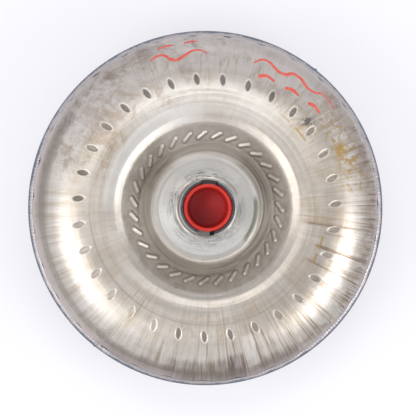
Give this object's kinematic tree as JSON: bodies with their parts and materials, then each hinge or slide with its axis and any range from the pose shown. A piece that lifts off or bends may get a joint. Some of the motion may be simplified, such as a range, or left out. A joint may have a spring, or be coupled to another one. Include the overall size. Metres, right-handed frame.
{
  "type": "torque converter",
  "caption": "Welded steel torque converter for an automatic transmission, with a lock-up clutch, a bladed impeller, turbine and stator inside, and a red shipping plug in its slotted pump hub.",
  "frame": {"origin": "on the rotation axis, in the plane of the set block faces that bolt to the drive plate", "axes": "+Z along the rotation axis from the engine side to the transmission side, towards the pump hub's end; +X through the middle of one set block"},
  "size_m": [0.27, 0.27, 0.121],
  "materials": {
    "shell_steel": "turned and wiped, oil stained",
    "cover_steel": "satin",
    "weld_steel": "as welded",
    "hub_steel": "ground",
    "block_steel": "machined",
    "blade_steel": "rolled",
    "hard_steel": "ground",
    "spring_steel": "oil tempered",
    "stator_alloy": "die cast",
    "lining_paper": "porous",
    "seal_resin": "satin",
    "cage_steel": "pressed",
    "plug_red": "glossy"
  },
  "bodies": {
    "housing": {"front_cover": "cover_steel", "pilot_boss": "hub_steel", "pilot_weld": "weld_steel", "set_blocks": "block_steel", "set_block_welds": "weld_steel", "balance_weights": "block_steel", "impeller_shell": "shell_steel", "closing_weld": "weld_steel", "pump_hub": "hub_steel", "hub_weld": "weld_steel", "impeller_core_ring": "blade_steel", "impeller_blades": "blade_steel", "cover_bearing_race": "hard_steel", "pump_bearing_race": "hard_steel"},
    "turbine": {"turbine_shell": "blade_steel", "turbine_blades": "blade_steel", "turbine_core_ring": "blade_steel", "turbine_hub": "hub_steel", "turbine_rivets": "hard_steel", "piston_seal": "seal_resin", "driven_plate": "blade_steel", "turbine_lower_race": "hard_steel", "turbine_upper_race": "hard_steel"},
    "damper": {"damper_springs": "spring_steel"},
    "lockup": {"lockup_piston": "blade_steel", "friction_lining": "lining_paper", "damper_retainer": "blade_steel", "damper_rivets": "hard_steel"},
    "race": {"stator_race": "hard_steel"},
    "stator": {"stator_wheel": "stator_alloy", "clutch_outer_race": "hard_steel", "sprags": "hard_steel", "sprag_cage": "cage_steel", "stator_end_plates": "stator_alloy", "stator_lower_race": "hard_steel", "stator_upper_race": "hard_steel"},
    "cover_needles": {"cover_bearing_cage": "cage_steel", "cover_bearing_needles": "hard_steel"},
    "turbine_needles": {"turbine_bearing_cage": "cage_steel", "turbine_bearing_needles": "hard_steel"},
    "pump_needles": {"pump_bearing_cage": "cage_steel", "pump_bearing_needles": "hard_steel"},
    "plug": {"shipping_plug": "plug_red"}
  },
  "joints": [
    {"name": "turbine_spin", "type": "hinge", "parent": "housing", "child": "turbine", "pos_m": [0, 0, 0], "axis": [0, 0, 1], "continuous": true},
    {"name": "damper_twist", "type": "hinge", "parent": "turbine", "child": "damper", "pos_m": [0, 0, 0], "axis": [0, 0, 1], "range_deg": [-8, 8], "stiffness_Nm_per_rad": 900, "deforming": ["damper_springs"]},
    {"name": "lockup_apply", "type": "slide", "parent": "damper", "child": "lockup", "axis": [0, 0, -1], "range_m": [0, 0.001]},
    {"name": "race_spin", "type": "hinge", "parent": "housing", "child": "race", "pos_m": [0, 0, 0], "axis": [0, 0, 1], "continuous": true},
    {"name": "stator_freewheel", "type": "hinge", "parent": "race", "child": "stator", "pos_m": [0, 0, 0], "axis": [0, 0, 1], "continuous": true},
    {"name": "cover_bearing_roll", "type": "hinge", "parent": "housing", "child": "cover_needles", "pos_m": [0, 0, 0], "axis": [0, 0, 1], "continuous": true},
    {"name": "turbine_bearing_roll", "type": "hinge", "parent": "housing", "child": "turbine_needles", "pos_m": [0, 0, 0], "axis": [0, 0, 1], "continuous": true},
    {"name": "pump_bearing_roll", "type": "hinge", "parent": "housing", "child": "pump_needles", "pos_m": [0, 0, 0], "axis": [0, 0, 1], "continuous": true},
    {"name": "plug_pull", "type": "slide", "parent": "housing", "child": "plug", "axis": [0, 0, 1], "range_m": [0, 0.04]}
  ],
  "couplings": [
    {"joint": "cover_bearing_roll", "follows": "turbine_spin", "ratio": 0.5},
    {"joint": "turbine_bearing_roll", "follows": "turbine_spin", "ratio": 0.5},
    {"joint": "pump_bearing_roll", "follows": "stator_freewheel", "ratio": 0.5}
  ]
}
